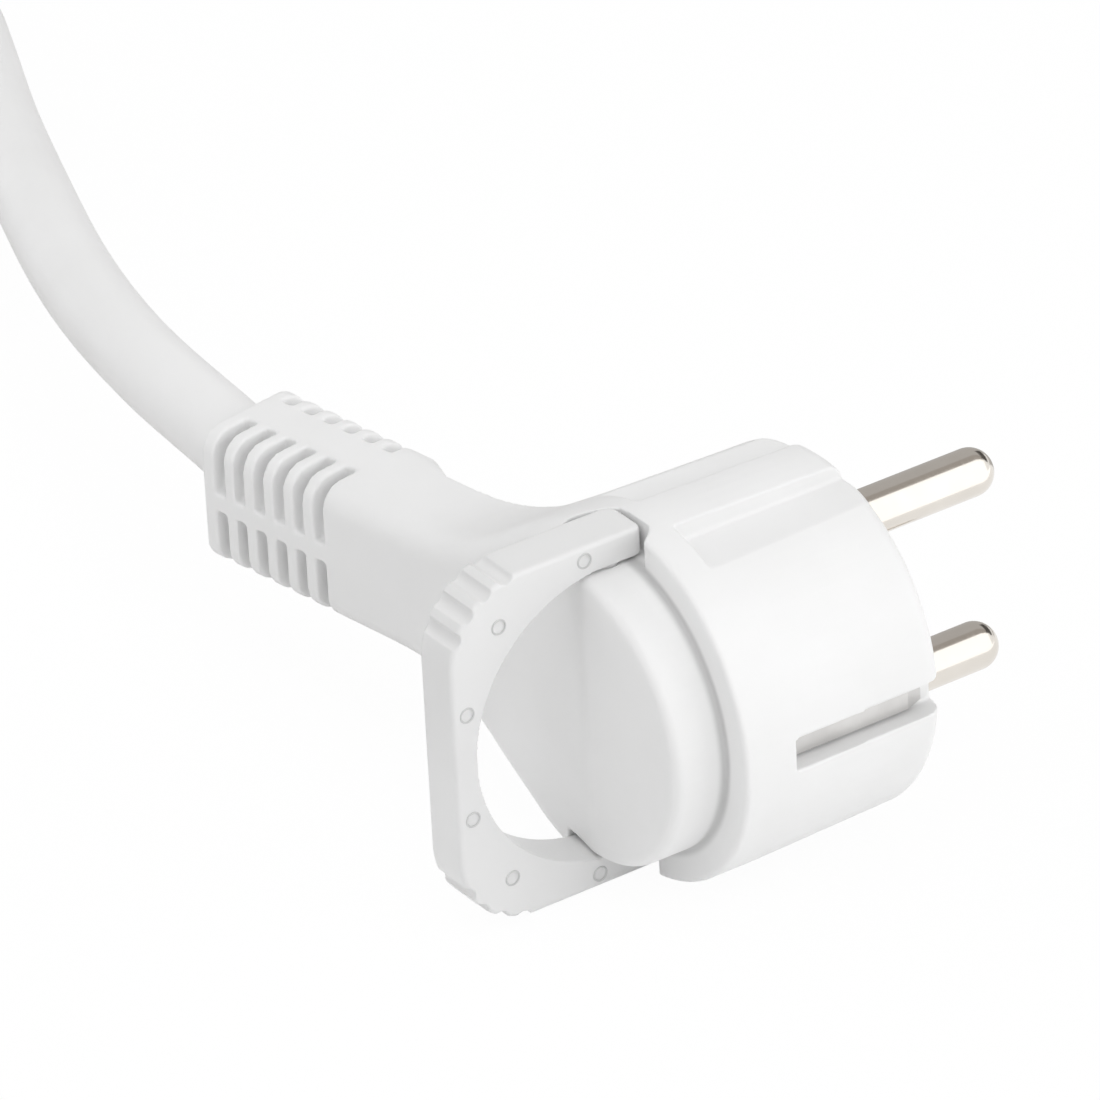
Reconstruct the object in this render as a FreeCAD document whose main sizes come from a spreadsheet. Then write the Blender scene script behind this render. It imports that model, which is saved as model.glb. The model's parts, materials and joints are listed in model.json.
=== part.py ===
"""Flat angled mains plug with a folding pull ring, on a coiled lead with bare ends.

Frame, in millimetres: +X runs along the contact pins, away from the engagement face; +Y runs
towards the cord; +Z runs along the line through both pins. The origin is the centre of the
engagement face. The plug rests on its round side, with the coil of its lead beside it, and the
pull ring stands open at a right angle, as a hand leaves it.
"""

import FreeCAD, Part

import math
import os

import Sketcher
from FreeCAD import Vector

DRIVING_SIZES = {
    # Contact pins
    "pin_spacing": 19.0,
    "pin_radius": 2.4,
    "pin_length": 19.0,
    "root_radius": 2.1,
    "root_step": 0.25,
    "relief_gap": 0.2,
    "relief_depth": 0.4,
    "collar_radius": 3.4,
    "collar_width": 1.2,
    "crimp_radius": 1.9,
    "crimp_length": 5.5,
    "wire_radius": 0.8,
    "wire_depth": 4.5,
    # Round shroud, with a draft as far back as the neck
    "shroud_radius": 18.1,
    "shroud_draft": 0.35,
    "shroud_edge": 1.8,
    "rim_edge": 0.5,
    # Boss inside the folded ring, and the rim around it
    "rim_width": 3.35,
    "boss_depth": 28.5,
    "boss_edge": 1.1,
    # Guide grooves above and below, and the side slots of the earth contacts
    "groove_depth": 1.85,
    "groove_rib": 2.85,
    "groove_stop": 3.6,
    "slot_height": 3.4,
    "slot_stop": 0.2,
    "slot_depth": 1.8,
    # Neck, which leaves the shroud as a taper and leans away from the wall
    "neck_thickness": 11.1,
    "neck_dip": 0.2,
    "fold_depth": 0.65,
    "fold_start": 1.0,
    "fold_radius": 9.0,
    "fold_end": 14.0,
    "taper_angle": 33.0,
    "taper_fillet": 25.0,
    "neck_half_height": 7.3,
    "neck_edge": 2.6,
    "bend_start": 20.0,
    "bend_radius": 80.0,
    "neck_lean": 9.5,
    # Slotted grip around the cord
    "grip_start": 3.4,
    "grip_length": 23.6,
    "grip_thickness": 12.6,
    "grip_slots": 6,
    "grip_pitch": 2.78,
    "grip_slot_width": 1.45,
    "grip_lip": 1.6,
    "grip_core_radius": 5.3,
    "side_bar": 2.0,
    "top_bar": 4.5,
    "top_bar_shift": 0.8,
    # Pull ring
    "ring_thickness": 5.1,
    "ring_front": 1.75,
    "ring_gap": 0.2,
    "ring_sink": 0.3,
    "ring_hole_gap": 0.3,
    "ring_inset": 0.15,
    "ring_overhang": 14.8,
    "ring_corner": 8.2,
    "ring_edge": 0.5,
    "arm_reach": 3.4,
    "arm_front_round": 0.8,
    "arm_back_round": 1.4,
    "hinge_height": 0.65,
    "peg_radius": 1.5,
    "peg_length": 2.2,
    "peg_clearance": 0.06,
    "grip_groove_radius": 0.95,
    "grip_groove_rise": 0.4,
    "grip_groove_first": 25.0,
    "grip_groove_step": 18.0,
    "ejector_radius": 0.68,
    "ejector_depth": 0.15,
    # Moulded carrier of the pins, flush in the engagement face
    "carrier_depth": 10.0,
    "carrier_wall": 0.6,
    "carrier_far": 5.6,
    "carrier_corner": 6.0,
    # Earth strip: side contacts, socket for a wall's earth pin, wire crimp
    "strip_thickness": 0.8,
    "strip_width": 2.8,
    "strip_front": 1.0,
    "strip_tip": 2.0,
    "strip_sink": 0.4,
    "earth_offset": 10.0,
    "earth_bore": 2.5,
    "earth_wall": 0.6,
    "earth_lip": 1.6,
    "earth_crimp_start": 4.0,
    "earth_crimp_sink": 0.3,
    # Lead
    "cord_radius": 4.2,
    "cord_entry": 4.2,
    "core_radius": 1.3,
    "core_circle": 1.7,
    "core_lead": 9.0,
    "core_cover": 4.9,
    "earth_lead": 6.0,
    "core_fan": 8.0,
    "core_clearance": 0.05,
    "coil_radius": 44.0,
    "coil_clearance": 0.3,
    "coil_x": -33.0,
    "coil_y": 196.0,
    "tie_thickness": 0.8,
    "tie_width": 14.0,
    "tie_angle": 108.0,
    "tail_start": 190.0,
    "tail_sweep": 270.0,
    "tail_core_length": 34.0,
    "tail_core_splay": 5.0,
    "ferrule_radius": 1.0,
    "ferrule_length": 8.0,
    "ferrule_collar_radius": 1.75,
    "ferrule_collar_length": 5.0,
}

# Mid-line of the lead from the grip to the coil
RUN_POINTS = [
    (-25.9, 57.0, 0.0),
    (-25.3, 68.5, -0.1),
    (-23.4, 81.0, -0.8),
    (-20.0, 95.0, -2.2),
    (-14.6, 110.0, -4.5),
    (-7.9, 125.5, -7.1),
    (-0.2, 141.0, -9.7),
    (7.4, 157.0, -12.0),
    (12.2, 173.5, -13.3),
]

# Ejector marks of the ring, as shares of its reach and of its half height
EJECTOR_MARKS = [(0.647, 0.923), (0.872, 0.738), (0.964, 0.306)]
GRIP_GROOVES = 4
TAIL_CHORDS = 12
BOTH_SIDES = (1, -1)
CORE_NAMES = ("live_core", "neutral_core", "earth_core")
ARC_SHARE = 0.45

doc = FreeCAD.newDocument("flat_plug")
sheet = doc.addObject("Spreadsheet::Sheet", "sizes")


class Size:
    """A length or angle with the sheet expression that gives it."""

    def __init__(self, value, text):
        self.value = value
        self.text = text

    def combine(self, other, sign, value):
        other_text = other.text if isinstance(other, Size) else repr(other)
        return Size(value, "(" + self.text + " " + sign + " " + other_text + ")")

    def __add__(self, other):
        return self.combine(other, "+", self.value + number(other))

    def __sub__(self, other):
        return self.combine(other, "-", self.value - number(other))

    def __mul__(self, other):
        return self.combine(other, "*", self.value * number(other))

    def __truediv__(self, other):
        return self.combine(other, "/", self.value / number(other))

    def __neg__(self):
        return Size(-self.value, "(-1 * " + self.text + ")")


def number(quantity):
    """Plain value of a Size or a number."""
    return quantity.value if isinstance(quantity, Size) else quantity


def sine(angle):
    return Size(math.sin(math.radians(angle.value)), "sin(" + angle.text + ")")


def cosine(angle):
    return Size(math.cos(math.radians(angle.value)), "cos(" + angle.text + ")")


def tangent(angle):
    return Size(math.tan(math.radians(angle.value)), "tan(" + angle.text + ")")


def root(square):
    return Size(math.sqrt(square.value), "sqrt(" + square.text + ")")


def fill_sheet():
    """Write the driving sizes into the sheet, and return them by name."""
    found = {}
    for row, (name, value) in enumerate(DRIVING_SIZES.items(), start=1):
        sheet.set("A%d" % row, name)
        sheet.set("B%d" % row, str(value))
        sheet.setAlias("B%d" % row, name)
        found[name] = Size(value, "sizes." + name)
    doc.recompute()
    return found


class Names:
    """Driving sizes as attributes."""

    def __init__(self, found):
        self.__dict__.update(found)


size = Names(fill_sheet())
zero = size.pin_spacing * 0

# Places worked out from the driving sizes
pin_height = size.pin_spacing / 2
shroud_rear = size.shroud_radius + size.shroud_draft
crimp_end = size.carrier_depth + size.collar_width + size.crimp_length
ledge_depth = size.boss_depth - size.ring_sink - size.ring_thickness - size.ring_gap
neck_front = size.boss_depth - size.neck_thickness
slot_length = neck_front - size.slot_stop
strip_back = slot_length + size.strip_sink
core_back = size.boss_depth - size.core_cover
groove_length = ledge_depth - size.groove_stop
hinge_depth = ledge_depth + size.ring_gap + size.ring_front
ring_back = size.hinge_height + size.ring_thickness - size.ring_front
shoulder = ring_back + size.ring_gap
boss_radius = shroud_rear - size.rim_width
groove_flat = size.shroud_radius - size.groove_depth
slot_floor = size.shroud_radius - size.slot_depth
ring_half_height = shroud_rear - size.ring_inset
ring_reach = size.boss_depth + size.ring_overhang
ring_hole = boss_radius + size.ring_hole_gap
ring_centre = hinge_depth + size.hinge_height
peg_tip = boss_radius - size.peg_length
neck_back = size.boss_depth - size.neck_dip
bend_x = -(neck_back + size.bend_radius * (cosine(size.neck_lean) * -1 + 1))
bend_y = size.bend_start + size.bend_radius * sine(size.neck_lean)
axis_x = bend_x + size.grip_thickness / 2 * cosine(size.neck_lean)
axis_y = bend_y + size.grip_thickness / 2 * sine(size.neck_lean)
strip_inner = slot_floor - size.strip_thickness
earth_sleeve = size.earth_bore + size.earth_wall
carrier_near = size.earth_offset + earth_sleeve + size.carrier_wall
carrier_half_height = pin_height + size.pin_radius + size.carrier_wall
earth_crimp_x = strip_back + size.crimp_radius - size.earth_crimp_sink
coil_half = size.cord_radius * 2 + size.coil_clearance
coil_base = shroud_rear - size.tie_thickness
coil_z = coil_half - coil_base


def origin_plane(body, role):
    """The body's own origin plane of a role such as XY_Plane."""
    return next(item for item in body.Origin.OriginFeatures if item.Role == role)


def new_body(name):
    body = doc.addObject("PartDesign::Body", name)
    body.Label = name
    return body


def new_sketch(body, name, role, offset=None):
    """Sketch on an origin plane, shifted along the plane's normal where an offset is given."""
    sketch = body.newObject("Sketcher::SketchObject", name)
    sketch.AttachmentSupport = (origin_plane(body, role), [""])
    sketch.MapMode = "FlatFace"
    if offset is not None:
        sketch.setExpression("AttachmentOffset.Base.z", offset.text)
    return sketch


def hold_point(sketch, geometry, place, u, v):
    """Tie a sketch point to its two coordinates."""
    for kind, size_of in (("DistanceX", u), ("DistanceY", v)):
        index = sketch.addConstraint(
            Sketcher.Constraint(kind, -1, 1, geometry, place, number(size_of)))
        sketch.setExpression("Constraints[%d]" % index, size_of.text)


def arc_between(start, end, radius, bulge):
    """Arc from start to end; bulge is 1 for the left of the chord, -1 right, 2 or -2 past a half."""
    chord = end - start
    left = Vector(-chord.y, chord.x, 0).normalize()
    rise = math.sqrt(max(radius * radius - (chord.Length / 2) ** 2, 0.0))
    inward = -1 if abs(bulge) == 1 else 1
    centre = (start + end) * 0.5 + left * math.copysign(rise, bulge) * inward
    first, last = (end, start) if bulge > 0 else (start, end)
    angles = [math.atan2(place.y - centre.y, place.x - centre.x) for place in (first, last)]
    return Part.ArcOfCircle(Part.Circle(centre, Vector(0, 0, 1), radius), *angles)


def add_loop(sketch, corners):
    """Closed loop of corners (u, v), each with an optional (radius, bulge) of the arc that leaves it."""
    first = sketch.GeometryCount
    count = len(corners)
    places = [Vector(number(corner[0]), number(corner[1]), 0) for corner in corners]
    ends = []
    for index, corner in enumerate(corners):
        start = places[index]
        end = places[(index + 1) % count]
        if len(corner) == 2:
            sketch.addGeometry(Part.LineSegment(start, end), False)
            ends.append((1, 2))
        else:
            sketch.addGeometry(arc_between(start, end, number(corner[2]), corner[3]), False)
            ends.append((2, 1) if corner[3] > 0 else (1, 2))
    for index, corner in enumerate(corners):
        following = (index + 1) % count
        sketch.addConstraint(Sketcher.Constraint(
            "Coincident", first + index, ends[index][1], first + following, ends[following][0]))
        hold_point(sketch, first + index, ends[index][0], corner[0], corner[1])
        if len(corner) > 2:
            held = sketch.addConstraint(
                Sketcher.Constraint("Radius", first + index, number(corner[2])))
            sketch.setExpression("Constraints[%d]" % held, corner[2].text)


def add_circle(sketch, u, v, radius):
    centre = Vector(number(u), number(v), 0)
    index = sketch.addGeometry(Part.Circle(centre, Vector(0, 0, 1), number(radius)), False)
    hold_point(sketch, index, 3, u, v)
    held = sketch.addConstraint(Sketcher.Constraint("Radius", index, number(radius)))
    sketch.setExpression("Constraints[%d]" % held, radius.text)


def add_rounded_rectangle(sketch, u_low, u_high, v_low, v_high, corner):
    add_loop(sketch, [
        (u_low + corner, v_low),
        (u_high - corner, v_low, corner, -1),
        (u_high, v_low + corner),
        (u_high, v_high - corner, corner, -1),
        (u_high - corner, v_high),
        (u_low + corner, v_high, corner, -1),
        (u_low, v_high - corner),
        (u_low, v_low + corner, corner, -1),
    ])


def extrude(body, kind, sketch, name, length=None, reverse=False, middle=False):
    """Pad or Pocket of a sketch; a Pocket with no length goes right through both ways."""
    feature = body.newObject("PartDesign::" + kind, name)
    feature.Profile = sketch
    if length is None:
        feature.Type = 1
    else:
        feature.setExpression("Length", length.text)
    feature.Midplane = middle
    feature.Reversed = reverse
    return feature


def revolve(body, sketch, name, axis="H_Axis"):
    feature = body.newObject("PartDesign::Revolution", name)
    feature.Profile = sketch
    feature.ReferenceAxis = (sketch, [axis])
    feature.Angle = 360.0
    return feature


def round_edges(body, name, radius, wanted):
    """Fillet the edges of the body's present shape that the test wants."""
    doc.recompute()
    shape = body.Shape
    chosen = ["Edge%d" % (i + 1) for i, edge in enumerate(shape.Edges) if wanted(edge)]
    fillet = body.newObject("PartDesign::Fillet", name)
    fillet.Base = (body.Tip if body.Tip != fillet else fillet.BaseFeature, chosen)
    fillet.setExpression("Radius", radius.text)
    return fillet


def middle_of(edge):
    return edge.valueAt((edge.FirstParameter + edge.LastParameter) / 2)


def lean(along, across):
    """X and Y of a point given along and across the leaning axis of the grip, from its start."""
    x = axis_x - along * sine(size.neck_lean) + across * cosine(size.neck_lean)
    y = axis_y + along * cosine(size.neck_lean) + across * sine(size.neck_lean)
    return x, y


# Moulded body

def shroud_and_boss(body):
    """Turned form of the drafted shroud, its rim and the boss behind it."""
    sketch = new_sketch(body, "shroud_profile", "XY_Plane")
    rim = size.rim_edge
    edge = size.shroud_edge
    add_loop(sketch, [
        (zero, zero),
        (zero, size.shroud_radius - edge, edge, -1),
        (-edge, size.shroud_radius),
        (-neck_front, shroud_rear),
        (rim - ledge_depth, shroud_rear, rim, -1),
        (-ledge_depth, shroud_rear - rim),
        (-ledge_depth, boss_radius),
        (size.boss_edge - size.boss_depth, boss_radius, size.boss_edge, -1),
        (-size.boss_depth, boss_radius - size.boss_edge),
        (-size.boss_depth, zero),
    ])
    revolve(body, sketch, "shroud")


def tapered_neck(body):
    """Taper from the shroud to the neck, seen along the pins, then cut to its leaning side view."""
    sketch = new_sketch(body, "neck_outline", "YZ_Plane", -neck_front)
    angle = size.taper_angle
    half = size.neck_half_height
    shoulder_z = root(shroud_rear * shroud_rear - shoulder * shoulder)
    leave_y = shroud_rear * sine(angle)
    leave_z = shroud_rear * cosine(angle)
    corner_y = leave_y + (leave_z - half) / tangent(angle)
    reach = size.taper_fillet * tangent(angle / 2)
    fillet_y = corner_y - reach * cosine(angle)
    fillet_z = half + reach * sine(angle)
    end_y = axis_y + size.grip_start + size.grip_lip
    add_loop(sketch, [
        (shoulder, shoulder_z, shroud_rear, 1),
        (leave_y, leave_z),
        (fillet_y, fillet_z, size.taper_fillet, -1),
        (corner_y + reach, half),
        (end_y, half),
        (end_y, -half),
        (corner_y + reach, -half, size.taper_fillet, -1),
        (fillet_y, -fillet_z),
        (leave_y, -leave_z, shroud_rear, 1),
        (shoulder, -shoulder_z),
    ])
    deepest = size.boss_depth * 2 - neck_front
    extrude(body, "Pad", sketch, "neck", deepest, reverse=True)

    cut = new_sketch(body, "neck_side", "XY_Plane")
    fold_rise = root(size.fold_radius * size.fold_depth * 2 - size.fold_depth * size.fold_depth)
    outside = -(size.boss_depth * 3)
    past_x, past_y = lean(size.grip_length * 2, -(size.grip_thickness / 2))
    add_loop(cut, [
        (-size.boss_depth, -size.fold_start, size.fold_radius, -1),
        (size.fold_depth - size.boss_depth, fold_rise - size.fold_start),
        (-neck_back, size.fold_end),
        (-neck_back, size.bend_start, size.bend_radius, -1),
        (bend_x, bend_y),
        (past_x, past_y),
        (outside, past_y),
        (outside, -size.fold_start),
    ])
    lean_back = (end_y - size.bend_start) * tangent(size.neck_lean)
    add_loop(cut, [
        (-neck_front, size.bend_start),
        (zero, size.bend_start),
        (zero, end_y),
        (-(neck_front + lean_back), end_y),
    ])
    extrude(body, "Pocket", cut, "neck_back", middle=True)

    def along_back(edge):
        spot = middle_of(edge)
        across = abs(spot.z) > half.value - 0.5 and spot.y > shoulder.value
        start, end = edge.Vertexes[0].Point, edge.Vertexes[-1].Point
        runs_in_y = abs(start.y - end.y) > 1.0
        return across and runs_in_y and spot.x < -neck_back.value + 1.0

    round_edges(body, "neck_back_edges", size.neck_edge, along_back)


def slotted_grip(body):
    """Rounded grip block on the leaning axis, with corner slots that leave a core and four bars."""
    half_wide = size.grip_thickness / 2
    half_high = size.neck_half_height
    block = new_sketch(body, "grip_section", "XZ_Plane")
    slots = new_sketch(body, "grip_slot_section", "XZ_Plane")
    first_slot = size.grip_length - size.grip_lip
    for sketch, along in ((block, size.grip_start), (slots, first_slot)):
        x, y = lean(along, zero)
        sketch.AttachmentOffset = FreeCAD.Placement(
            Vector(x.value, 0, -y.value), FreeCAD.Rotation(Vector(0, 1, 0), size.neck_lean.value))
        sketch.setExpression("AttachmentOffset.Base.x", x.text)
        sketch.setExpression("AttachmentOffset.Base.z", "-1 * " + y.text)
        sketch.setExpression("AttachmentOffset.Rotation.Angle", size.neck_lean.text)
    add_rounded_rectangle(block, -half_wide, half_wide, -half_high, half_high, size.neck_edge)
    extrude(body, "Pad", block, "grip", size.grip_length - size.grip_start, reverse=True)

    core = size.grip_core_radius
    bar_u = size.top_bar / 2
    bar_v = size.side_bar / 2
    meet_u = root(core * core - bar_v * bar_v)
    far_u = half_wide * 2
    far_v = half_high * 2
    for across in BOTH_SIDES:
        for upward in BOTH_SIDES:
            bulge = across * upward
            edge_u = bar_u * across + size.top_bar_shift
            meet_v = root(core * core - edge_u * edge_u)
            add_loop(slots, [
                (edge_u, meet_v * upward, core, bulge),
                (meet_u * across, bar_v * upward),
                (far_u * across, bar_v * upward),
                (far_u * across, far_v * upward),
                (edge_u, far_v * upward),
            ])
    pocket = extrude(body, "Pocket", slots, "grip_slot", size.grip_slot_width, reverse=True)
    doc.recompute()
    pattern = body.newObject("PartDesign::LinearPattern", "grip_slots")
    pattern.Originals = [pocket]
    pattern.Direction = (slots, ["N_Axis"])
    pattern.setExpression("Length", (size.grip_pitch * (size.grip_slots - 1)).text)
    pattern.setExpression("Occurrences", size.grip_slots.text)
    body.Tip = pattern


def guide_grooves(body):
    """Flat guide grooves beside a central rib, above and below, open to the engagement face."""
    sketch = new_sketch(body, "groove_section", "YZ_Plane")
    outside = shroud_rear * 2
    for across in BOTH_SIDES:
        for upward in BOTH_SIDES:
            add_loop(sketch, [
                (size.groove_rib * across, groove_flat * upward),
                (outside * across, groove_flat * upward),
                (outside * across, outside * upward),
                (size.groove_rib * across, outside * upward),
            ])
    extrude(body, "Pocket", sketch, "guide_grooves", groove_length)


def earth_slots(body):
    """Slots on both sides of the shroud, over the earth strip's arms."""
    sketch = new_sketch(body, "slot_section", "YZ_Plane")
    half = size.slot_height / 2
    outside = shroud_rear * 2
    for across in BOTH_SIDES:
        add_loop(sketch, [
            (strip_inner * across, -half),
            (outside * across, -half),
            (outside * across, half),
            (strip_inner * across, half),
        ])
    extrude(body, "Pocket", sketch, "earth_slots", slot_length)


def moulded_body():
    body = new_body("plug_moulding")
    shroud_and_boss(body)
    tapered_neck(body)
    slotted_grip(body)
    guide_grooves(body)
    earth_slots(body)
    return body


# Contacts and their carrier

def contact_pin(name, upward):
    """Turned pin with a domed tip, a thinner root in the carrier, a collar behind it and a crimp."""
    body = new_body(name)
    sketch = new_sketch(body, name + "_profile", "XY_Plane")
    radius = size.pin_radius
    collar_back = -(size.carrier_depth + size.collar_width)
    add_loop(sketch, [
        (size.wire_depth - crimp_end, zero),
        (size.wire_depth - crimp_end, size.wire_radius),
        (-crimp_end, size.wire_radius),
        (-crimp_end, size.crimp_radius),
        (collar_back, size.crimp_radius),
        (collar_back, size.collar_radius),
        (-size.carrier_depth, size.collar_radius),
        (-size.carrier_depth, size.root_radius),
        (size.root_step, size.root_radius),
        (size.root_step, radius),
        (size.pin_length - radius, radius, radius, 1),
        (size.pin_length, zero),
    ])
    revolve(body, sketch, name + "_turning")
    body.setExpression("Placement.Base.z", (pin_height * upward).text)
    return body


def pin_carrier():
    """Hard inner moulding that holds both pins and the earth socket, flush in the engagement face."""
    body = new_body("pin_carrier")
    block = new_sketch(body, "carrier_section", "YZ_Plane")
    add_rounded_rectangle(block, -carrier_near, size.carrier_far, -carrier_half_height,
                          carrier_half_height, size.carrier_corner)
    extrude(body, "Pad", block, "carrier_block", size.carrier_depth, reverse=True)
    bores = new_sketch(body, "carrier_bores", "YZ_Plane")
    for upward in BOTH_SIDES:
        add_circle(bores, zero, pin_height * upward, size.root_radius)
    add_circle(bores, -size.earth_offset, zero, size.earth_bore)
    extrude(body, "Pocket", bores, "carrier_holes", middle=True)
    reliefs = new_sketch(body, "pin_relief_section", "YZ_Plane")
    for upward in BOTH_SIDES:
        add_circle(reliefs, zero, pin_height * upward, size.pin_radius + size.relief_gap)
    extrude(body, "Pocket", reliefs, "pin_reliefs", size.relief_depth)
    seat = new_sketch(body, "socket_seat_section", "YZ_Plane", -size.earth_lip)
    add_circle(seat, -size.earth_offset, zero, earth_sleeve)
    extrude(body, "Pocket", seat, "socket_seat", size.carrier_depth)
    return body


def earth_strip():
    """Bent strip with two side contacts, the socket for a wall's earth pin and a wire crimp."""
    body = new_body("earth_strip")
    bent = new_sketch(body, "strip_profile", "XY_Plane")
    outer = slot_floor
    front = -size.strip_front
    back = -strip_back
    tip = size.strip_thickness
    add_loop(bent, [
        (back, -outer),
        (front - size.strip_tip, -outer),
        (front, tip - outer),
        (back + tip, tip - outer),
        (back + tip, outer - tip),
        (front, outer - tip),
        (front - size.strip_tip, outer),
        (back, outer),
    ])
    extrude(body, "Pad", bent, "strip", size.strip_width, middle=True)
    socket = new_sketch(body, "socket_section", "YZ_Plane", tip - strip_back)
    add_circle(socket, -size.earth_offset, zero, earth_sleeve)
    add_circle(socket, -size.earth_offset, zero, size.earth_bore)
    extrude(body, "Pad", socket, "earth_socket", strip_back - tip - size.earth_lip)
    crimp = new_sketch(body, "earth_crimp_section", "XZ_Plane", -size.earth_crimp_start)
    add_circle(crimp, -earth_crimp_x, zero, size.crimp_radius)
    extrude(body, "Pad", crimp, "earth_crimp", size.crimp_length, reverse=True)
    wire = new_sketch(body, "earth_wire_section", "XZ_Plane",
                      -(size.earth_crimp_start + size.crimp_length))
    add_circle(wire, -earth_crimp_x, zero, size.wire_radius)
    extrude(body, "Pocket", wire, "earth_wire_hole", size.wire_depth, reverse=True)
    return body


# Pull ring

def pull_ring():
    """Ring on two pegs, with a round hole that clears the boss and gripping corners."""
    body = new_body("pull_ring")
    arm_end = size.arm_reach - hinge_depth
    front = size.ring_front - size.hinge_height
    corner = size.ring_corner
    high = ring_half_height
    reach = ring_reach
    outline = new_sketch(body, "ring_outline", "XZ_Plane", front)
    add_loop(outline, [
        (arm_end, high),
        (corner - reach, high, corner, -1),
        (-reach, high - corner),
        (-reach, corner - high, corner, -1),
        (corner - reach, -high),
        (arm_end, -high),
        (arm_end, -ring_hole),
        (-ring_centre, -ring_hole, ring_hole, 1),
        (-(ring_centre + ring_hole), zero, ring_hole, 1),
        (-ring_centre, ring_hole),
        (arm_end, ring_hole),
    ])
    extrude(body, "Pad", outline, "ring", size.ring_thickness, reverse=True)

    def at_arm_end(edge):
        upright = abs(edge.Vertexes[0].Point.z - edge.Vertexes[-1].Point.z) > 0.5
        return upright and abs(middle_of(edge).x - arm_end.value) < 1e-4

    round_edges(body, "arm_front_ends", size.arm_front_round,
                lambda edge: at_arm_end(edge) and middle_of(edge).y < size.hinge_height.value)
    round_edges(body, "arm_back_ends", size.arm_back_round,
                lambda edge: at_arm_end(edge) and middle_of(edge).y > size.hinge_height.value)

    def on_faces(edge):
        spot = middle_of(edge)
        on_front = abs(spot.y + front.value) < 1e-4
        on_back = abs(spot.y - ring_back.value) < 1e-4
        from_centre = math.hypot(spot.x + ring_centre.value, spot.z)
        outside = from_centre > ring_hole.value + 0.5
        return (on_front or on_back) and outside and spot.x < -hinge_depth.value

    round_edges(body, "ring_edges", size.ring_edge, on_faces)

    grooves = new_sketch(body, "ring_groove_section", "XZ_Plane")
    from_corner = corner + size.grip_groove_rise
    for upward in BOTH_SIDES:
        for index in range(GRIP_GROOVES):
            angle = size.grip_groove_first + size.grip_groove_step * index
            u = corner - reach - from_corner * cosine(angle)
            v = (high - corner + from_corner * sine(angle)) * upward
            add_circle(grooves, u, v, size.grip_groove_radius)
    extrude(body, "Pocket", grooves, "ring_grooves", middle=True)

    marks = new_sketch(body, "ejector_marks", "XZ_Plane", front)
    for across, height in EJECTOR_MARKS:
        for upward in BOTH_SIDES:
            add_circle(marks, -(reach * across), high * (height * upward), size.ejector_radius)
    extrude(body, "Pocket", marks, "ejector_recesses", size.ejector_depth)

    for upward, name in ((1, "upper_peg"), (-1, "lower_peg")):
        section = new_sketch(body, name + "_section", "XY_Plane", peg_tip * upward)
        add_circle(section, -hinge_depth, size.hinge_height, size.peg_radius)
        extrude(body, "Pad", section, name, high - size.ring_edge - peg_tip, reverse=upward < 0)
    return body


# Lead

def rounded_route(points, radii):
    """Wire of straight runs and tangent arcs, each arc as large as its two runs allow."""
    edges = []
    start = points[0]
    for before, corner, after in zip(points, points[1:], points[2:]):
        incoming = (corner - before).normalize()
        outgoing = (after - corner).normalize()
        cut = ARC_SHARE * min((corner - before).Length, (after - corner).Length)
        half_turn = incoming.getAngle(outgoing) / 2
        radius = cut / math.tan(half_turn)
        inward = (outgoing - incoming).normalize()
        middle = corner + inward * (radius / math.cos(half_turn) - radius)
        enter = corner - incoming * cut
        leave = corner + outgoing * cut
        edges.append(Part.LineSegment(start, enter).toShape())
        edges.append(Part.Arc(enter, middle, leave).toShape())
        radii.append(radius)
        start = leave
    edges.append(Part.LineSegment(start, points[-1]).toShape())
    return Part.Wire(edges)


def tube_along(points, radius):
    """Round solid along a rounded route, checked against its section times its length."""
    radii = []
    route = rounded_route(points, radii)
    ring = Part.Circle(points[0], points[1] - points[0], radius)
    section = Part.Wire([ring.toShape()])
    tube = route.makePipeShell([section], True, False)
    expected = math.pi * radius * radius * route.Length
    print("tube of %.1f mm, radii %s, volume ratio %.4f" % (
        route.Length, [round(value, 1) for value in radii], tube.Volume / expected))
    return tube


def shape_feature(name, shape):
    feature = doc.addObject("Part::Feature", name)
    feature.Label = name
    feature.Shape = shape
    return feature


def point_on_lean(along, across, height):
    x, y = lean(along, across)
    return Vector(x.value, y.value, number(height))


def run_points():
    entry = point_on_lean(size.cord_entry, zero, zero)
    inside = point_on_lean(size.grip_length / 2, zero, zero)
    return [entry, inside] + [Vector(*place) for place in RUN_POINTS]


def core_points(name):
    """Route of one insulated core from the sheath's end to its crimp, with the crimp's direction."""
    circle = size.core_circle
    first = size.cord_entry
    if name == "earth_core":
        start = point_on_lean(first, circle, zero)
        turn = point_on_lean(-size.core_lead, circle, zero)
        end = Vector(-earth_crimp_x.value, number(size.earth_crimp_start + size.crimp_length), 0)
        straight = end + Vector(0, size.earth_lead.value, 0)
        return [start, turn, straight, end], Vector(0, -1, 0)
    upward = 1 if name == "live_core" else -1
    spread = circle * math.sqrt(3) / 2 * upward
    height = pin_height.value * upward
    level = -core_back.value
    return [
        point_on_lean(first, -(circle / 2), spread),
        point_on_lean(-size.core_lead, -(circle / 2), spread),
        Vector(level, size.core_fan.value, height),
        Vector(level, 0, height),
        Vector(-crimp_end.value, 0, height),
    ], Vector(1, 0, 0)


def insulated_core(name, clearance=0.0):
    """Core with its bare wire end in the crimp; a clearance makes the channel around it."""
    points, inward = core_points(name)
    tube = tube_along(points, size.core_radius.value + clearance)
    wire = Part.makeCylinder(size.wire_radius.value, size.wire_depth.value, points[-1], inward)
    return tube.fuse(wire)


def coil_section(body, name, grow):
    """Rounded square around the bundled turns, grown outward by a wall."""
    sketch = new_sketch(body, name, "XZ_Plane")
    half = coil_half + grow
    add_rounded_rectangle(sketch, size.coil_radius - half, size.coil_radius + half, -half, half,
                          size.cord_radius + grow)
    return sketch


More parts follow.
